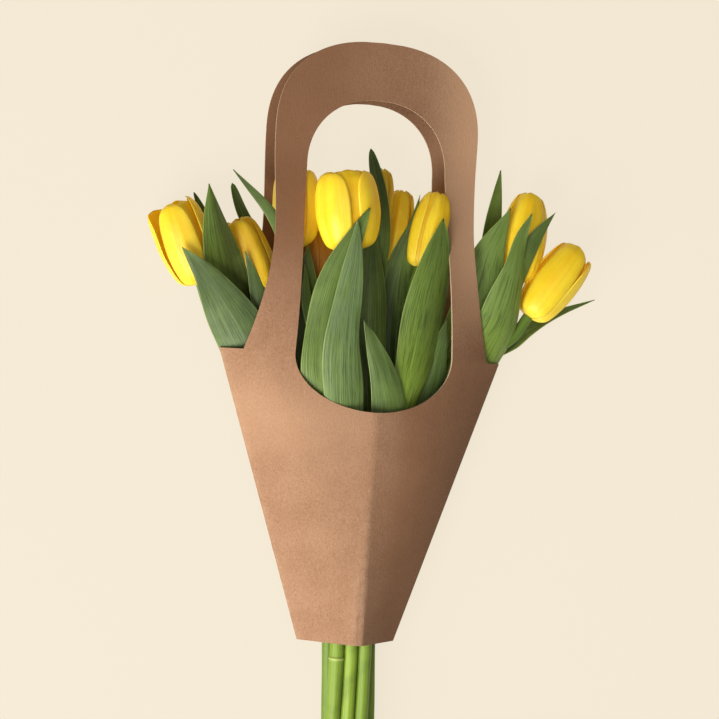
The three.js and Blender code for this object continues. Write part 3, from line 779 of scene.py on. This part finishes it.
def makeLeaf(name, stemLine, leaf, seed):
    f = {**leafForm, **leaf}
    half = f["half"]
    left, right = f.get("wider", (0, 0))
    stand = stemRadiusAt(leaf["at"]) + bunch["clearance"] + f["standThickness"] / 2
    sheath = []
    for part in (0, 0.5, 1):
        share = leaf["at"] + part * f["sheathLength"] / stemLine.length
        sheath.append(stemLine.at(share) + facing(leaf["out"][0], stemLine.heading(share)) * stand)
    path = Path([*sheath, *leaf["spine"]])
    side = np.linspace(-1, 1, f["columns"] + 1)
    side = np.sign(side) * np.abs(side) ** f["crowding"]
    shares = np.linspace(0, 1, f["rows"] + 1)
    spots = np.zeros((len(shares), len(side), 3))
    for row, share in enumerate(shares):
        heading = path.heading(share)
        inner = -facing(blend(*leaf["out"], float(ease(share, 0.12, 0.5))), heading)
        across = np.cross(heading, inner)
        arc = side * leafHalf(share, half, f["taper"], f["belly"])
        swell = bump(share, f["bulge"], f["bulgeWidth"]) * (1 - share ** 6)
        arc += np.where(side > 0, left, right) * side * swell
        arc += f["ripple"] * np.sign(side) * np.abs(side) ** 3 * math.sin(math.pi * share) * np.sin(
            share * 21 + seed * 1.7 + side * 2)
        bend = blend(1 / stand, f["cup"] / half, float(ease(share, 0.06, 0.4)))
        blade = float(ease(share, 0.3, 0.5))
        keel = -f["keel"] * bump(arc, 0, 1.4) * blade * (1 - share)
        ribs = f["ribDepth"] * np.cos(arc * 2 * math.pi / f["ribGap"]) * blade * (1 - share ** 4)
        sway = f["wave"] * blade * np.abs(side) ** 2.5 * (
            np.sin(share * 17 + seed * 2.1 + side * 1.3) + 0.5 * np.sin(share * 31 + seed + side * 2))
        depth = (1 - np.cos(arc * bend)) / bend + keel + ribs + sway
        width = np.sin(arc * bend) / bend
        spots[row] = path.at(share) + across * width[:, None] + inner * depth[:, None]
    shareGrid, sideGrid = np.meshgrid(shares, side, indexing="ij")
    thin = np.abs(sideGrid) ** 3
    thickness = blend(f["thickness"], f["marginThickness"], np.maximum(thin, shareGrid ** 5))
    points, faces = sheet(spots, thickness)
    bluish, fresh, olive = leaf["look"]
    margin = np.clip((np.abs(sideGrid) * half - half + 0.7) / 0.7, 0, 1)
    young = fresh * (0.35 + 0.65 * (1 - ease(shareGrid, 0.25, 0.75)))
    # Olive: each leaf's painted shade, a little more olive towards the tip, and painted shade growing
    # across the blade towards one side.
    oliveShade = olive + (1 - olive) * 0.25 * ease(shareGrid, 0.8, 1) + f.get("sideShade", 0) * sideGrid
    marks = {
        "vein": sideGrid * half, "along": shareGrid * path.length, "margin": margin,
        "bluish": shareGrid * 0 + bluish, "fresh": young, "olive": np.clip(oliveShade, 0, 1),
    }
    marks = {key: np.tile(value.ravel(), 2) for key, value in marks.items()}
    marks["vein"] = marks["vein"] + seed * 31
    piece = meshPiece(name + "_blade", points, faces, leafFinish, marks)
    mount(piece, name)


# Blooms: three outer petals over three inner ones, round a pistil and six stamens.
petalForm = {
    "rows": 46, "columns": 28, "thickness": 0.6, "marginThickness": 0.28, "step": 1.15, "halfAngle": 55,
    "profile": [(0.2, 0), (0.76, 0.08), (1, 0.37), (0.99, 0.66), (0.86, 0.89), (0.66, 1)],
    "reach": (1.0, 0.97, 1.01, 1.03, 1.0, 1.02), "tuck": 0.75, "groove": 0.5, "fold": 0.28, "wave": 0.4,
    "point": 0.5, "twist": 0.35, "tipDip": 1.6,
}


def profileTable():
    points = np.array(petalForm["profile"])
    table = []
    for place in np.linspace(0, len(points) - 1, 401):
        i = min(int(place), len(points) - 2)
        w = place - i
        p0, p1, p2, p3 = points[[max(i - 1, 0), i, i + 1, min(i + 2, len(points) - 1)]]
        table.append(cubic(p1, p2, (p2 - p0) / 2, (p3 - p1) / 2, w))
    return np.array(table)


def profileAt(table, share):
    marks = np.linspace(0, 1, len(table))
    beyond = np.maximum(share - 1, 0)[..., None] * (table[-1] - table[-2]) * (len(table) - 1) + table[-1]
    return [np.where(share > 1, beyond[..., i], np.interp(share, marks, table[:, i])) for i in (0, 1)]


# A point of a petal's surface from its level (0 base, 1 top) and its turn from the petal's middle.
def petalSurface(tulip, number, seed, level, turn, table):
    f = petalForm
    outer = number < 3
    own = tulip.get("petals", {}).get(number, {})
    centre = tulip["turn"] + own.get("turn", 0) + (number * 120 if outer else number * 120 - 300)
    share = level * own.get("reach", f["reach"][number])
    inset = own.get("inset", 0 if outer else f["step"])
    flare, roll = own.get("flare", 0), own.get("roll", 0)
    wide, high = profileAt(table, share)
    side = turn / math.radians(f["halfAngle"])
    wobble = 0.7 * seed + number * 1.9
    mid = np.sin(math.pi * np.clip(level, 0, 1))
    spread = tulip.get("open", 0) * share * share - tulip.get("close", 0) * ease(share, 0.55, 1.05)
    radial = wide * tulip["radius"] * (1 + spread) - inset
    radial -= f["tuck"] * side ** 4 * (1 - level * 0.4) * (1 if outer else 1.2)
    radial += f["twist"] * side * np.minimum(1, level * 4)
    radial -= f["groove"] * bump(side, 0, 0.15) * mid ** 0.7 * (1 if outer else 0.5)
    radial += f["fold"] * np.cos(side * 8.5 + wobble) * mid
    ripple = np.sin(level * 9 + wobble + side) * ease(level, 0.25, 0.8)
    radial += f["wave"] * np.abs(side) ** 3 * ripple
    radial += flare * level ** 2 + roll * np.abs(side) ** 3 * ease(level, 0.4, 0.9)
    radial -= f["tipDip"] * ease(level, 0.9, 1) ** 2
    lift = bloomAxis(tulip)[2] * high + f["point"] * bump(side, 0, 0.3) * ease(level, 0.86, 1)
    lift -= flare * 0.35 * level ** 2
    angle = math.radians(centre) + turn
    flat = tulip.get("depth", 1)
    return np.stack([np.cos(angle) * radial, flat * np.sin(angle) * radial, lift], -1)


def petalSheet(tulip, number, seed, table):
    f = petalForm
    half = tulip.get("petals", {}).get(number, {}).get("half", f["halfAngle"])
    levels = np.sin(np.linspace(0, 1, f["rows"] + 1) * math.pi / 2) ** 0.9
    outline = blend(0.78, 1, ease(levels, 0, 0.22))
    outline = outline * (1 - np.clip((levels - 0.52) / 0.48, 0, 1) ** 2.6) ** 0.5
    level, across = np.meshgrid(levels, np.linspace(1, -1, f["columns"] + 1), indexing="ij")
    turn = math.radians(half) * np.maximum(outline, 0.008)[:, None] * across

    def surface(rise=0, swing=0):
        return petalSurface(tulip, number, seed, level + rise, turn + swing, table)

    nudge = 1e-3
    up, along = surface(nudge) - surface(-nudge), surface(0, nudge) - surface(0, -nudge)
    thin = np.maximum(np.abs(across) ** 3, level ** 6)
    thickness = blend(f["thickness"], f["marginThickness"], thin)
    return *sheet(surface(), thickness, unit(np.cross(along, up))), level, across


# The heart of a bloom: a pistil with a three-lobed top in a ring of six stamens. The sizes are those in
# a bloom as wide as forRadius.
heart = {
    "sizes": {"Ring": 2.2, "Filament": 7, "Anther": 3.4, "Pistil": 12, "Pistil half": 1.9,
              "Lobe half": 1.5},
    "stamens": 6, "lobes": 3, "lift": 1.0, "lean": 0.12, "seed": 7, "forRadius": 12,
}


def heartTree():
    tree, inputs, add, given = newTree("bloomHeart", {
        **dict.fromkeys(("Stamens", "Lobes", "Seed"), "Int"), "Finish": "Material",
        **dict.fromkeys([*heart["sizes"], "Lean"], "Float")})

    def lifted(geometry, height, stretch):
        spot = add("ShaderNodeCombineXYZ", Z=height)[0]
        return add("Transform", Geometry=geometry, Translation=spot, Scale=stretch)[0]

    def ringOf(count, radius, shape, **turn):
        ring = add("MeshCircle", Vertices=count, Radius=radius)[0]
        return add("InstanceOnPoints", Points=ring, Instance=shape, **turn)[0]

    def joined(*shapes):
        node = tree.nodes.new("GeometryNodeJoinGeometry")
        for shape in shapes:
            tree.links.new(shape, node.inputs[0])
        return node.outputs[0]

    filament = add("MeshCone", Vertices=6, Radius_Top=0.0003, Radius_Bottom=0.0005,
                   Depth=given["Filament"])[0]
    pollen = add("MeshUVSphere", Segments=8, Rings=6, Radius=0.001)[0]
    anther = lifted(pollen, maths(add, "ADD", given["Filament"], given["Anther"]), (0.75, 0.95, 3.6))
    lean = add("FunctionNodeRandomValue", {"data_type": "FLOAT_VECTOR"}, i0=(-0.5,) * 3, i1=(0.5,) * 3,
               Seed=given["Seed"])[0]
    lean = add("ShaderNodeVectorMath", {"operation": "SCALE"}, i0=lean, Scale=given["Lean"])[0]
    stamens = ringOf(given["Stamens"], given["Ring"], joined(filament, anther), Rotation=lean)
    slim = maths(add, "MULTIPLY", given["Pistil half"], 0.7)
    pillar = add("MeshCone", Vertices=12, Side_Segments=3, Radius_Top=given["Pistil half"],
                 Radius_Bottom=slim, Depth=given["Pistil"])[0]
    knob = add("MeshUVSphere", Segments=8, Rings=6, Radius=given["Lobe half"])[0]
    lobes = lifted(ringOf(given["Lobes"], given["Lobe half"], knob), given["Pistil"], (1.0, 1.0, 0.8))
    endTree(tree, add, joined(stamens, pillar, lobes), given["Finish"])
    return tree, inputs


def makeHeart(name, tulip, seed, pose, core):
    scale = tulip["radius"] / heart["forRadius"] * 0.001
    start = bpy.data.meshes.new(name + "_point")
    start.from_pydata([(0, 0, 0)], [], [])
    piece = grown(name + "_heart", start, *core, {
        **{key: size * scale for key, size in heart["sizes"].items()}, "Stamens": heart["stamens"],
        "Lobes": heart["lobes"], "Lean": heart["lean"], "Seed": heart["seed"] + seed,
        "Finish": petalFinish})
    piece.data.transform(pose)
    mount(piece, name + "_bloom")


def makeBloom(name, tulip, seed, table, core):
    base, axis, _ = bloomAxis(tulip)
    front = facing(0, axis)
    across = np.cross(front, axis)
    points, faces, marks = [], [], []
    for number in range(6):
        closed, quads, level, side = petalSheet(tulip, number, seed, table)
        points.append(closed)
        faces.append(quads + number * len(closed))
        cover = 0 if number < 3 else 0.25 * (1 - ease(level, 0.5, 0.95))
        margin = np.maximum(np.clip((np.abs(side) - 0.9) / 0.1, 0, 1), ease(level, 0.97, 1))
        own = {"across": side, "rise": level, "margin": margin,
               "petal": level * 0 + number * 7.3 + seed * 3.1,
               "shade": np.clip(level * 0 + tulip.get("shade", 0) + cover, 0, 1)}
        own = {key: np.tile(value.ravel(), 2) for key, value in own.items()}
        marks.append({**own, "inside": np.repeat([0, 1], level.size)})
    local = np.concatenate(points) @ np.array([across, front, axis]) + axis * bunch["clearance"]
    marks = {key: np.concatenate([each[key] for each in marks]) for key in marks[0]}
    piece = meshPiece(name + "_petals", base + local, np.concatenate(faces), petalFinish, marks)
    mount(piece, name + "_bloom")
    foot = base + axis * (bunch["clearance"] + heart["lift"]) - (0, bunch["originY"], 0)
    turned = Matrix([Vector(v) for v in (across, front, axis)]).transposed().to_4x4()
    makeHeart(name, tulip, seed, Matrix.Translation(Vector(foot * 0.001)) @ turned, core)


tube, core = stemTree(), heartTree()
table = profileTable()
for number, tulip in enumerate(tulips):
    name = f"tulip_{number + 1:02d}"
    line = makeStem(name, number, tulip, tube)
    for place, leaf in enumerate(tulip["leaves"]):
        makeLeaf(f"{name}_leaf_{place + 1}", line, leaf, number * 3 + place + 1)
    makeBloom(name, tulip, number, table, core)
print("tulips:", len(tulips))

# Floor, light and camera
studio = {
    "floor": paint("#f4ead6"), "cloud": paint("#efe3cc"), "dim": 0.07, "glow": 0.92, "shine": 0,
    "floorHalf": 4, "world": (1.0, 0.91, 0.79), "worldStrength": 0.18, "lightColour": (1.0, 0.97, 0.93),
    "lightTarget": (0, 0.08, 0.02), "key": {"power": 71, "size": 1.4, "place": (-1.15, -1.0, 1.0)},
    "fill": {"power": 7, "size": 1.2, "place": (-0.3, 0.3, 2.0)},
}


def makeStage():
    mesh = bpy.data.meshes.new("floor")
    h = studio["floorHalf"]
    mesh.from_pydata([(-h, -h, 0), (h, -h, 0), (h, h, 0), (-h, h, 0)], [], [(0, 1, 2, 3)])
    floor = addObject("floor", mesh)

    def paper(w, look):
        cloud = w.speckle(w.place(), 2.5, 2, 0.5) * 0.2
        tones = look["floor"], look["cloud"]
        dim = [(*[look["dim"] * v for v in tone[:3]], 1) for tone in tones]
        return {"Base Color": cloud.mix(*dim), "Emission Color": cloud.mix(*tones),
                "Roughness": w.speckle(w.place(), 900, 2, 0.5) * 0.1 + 0.85}

    mesh.materials.append(finish("floorPaper", paper, studio))
    world = bpy.data.worlds.new("studio")
    world.use_nodes = True
    background = world.node_tree.nodes["Background"]
    background.inputs["Color"].default_value = (*studio["world"], 1)
    background.inputs["Strength"].default_value = studio["worldStrength"]
    bpy.context.scene.world = world
    for name in ("key", "fill"):
        lamp = studio[name]
        light = bpy.data.lights.new(name, "AREA")
        light.energy, light.size, light.color = lamp["power"], lamp["size"], studio["lightColour"]
        placed = addObject(name, light)
        placed.location = lamp["place"]
        back = Vector(lamp["place"]) - Vector(studio["lightTarget"])
        placed.rotation_euler = back.to_track_quat("Z", "Y").to_euler()
    bpy.context.scene.view_settings.view_transform = "Standard"


view = {
    "azimuth": 18, "elevation": -0.05, "roll": 3.4246, "distance": 1200, "target": (-1.4876, 97.782, 16),
    "focal": 2069, "imageWidth": 719, "sensor": 36,
}


def makeCamera():
    a, e, r = (math.radians(view[key]) for key in ("azimuth", "elevation", "roll"))
    back = Vector((-math.sin(a) * math.cos(e), math.sin(e), math.cos(a) * math.cos(e)))
    right = Vector((math.cos(a), 0, math.sin(a)))
    up = back.cross(right)
    turnedRight = math.cos(r) * right + math.sin(r) * up
    turnedUp = math.cos(r) * up - math.sin(r) * right
    lens = bpy.data.cameras.new("camera")
    lens.sensor_width, lens.lens = view["sensor"], view["focal"] / view["imageWidth"] * view["sensor"]
    lens.clip_start, lens.clip_end = 0.05, 50
    camera = addObject("camera", lens)
    place = (Vector(view["target"]) + back * view["distance"]) * 0.001
    axes = Matrix((turnedRight, turnedUp, back)).transposed().to_4x4()
    camera.matrix_world = Matrix.Translation(place) @ axes
    bpy.context.scene.camera = camera


makeStage()
makeCamera()
print("stage and camera ready")
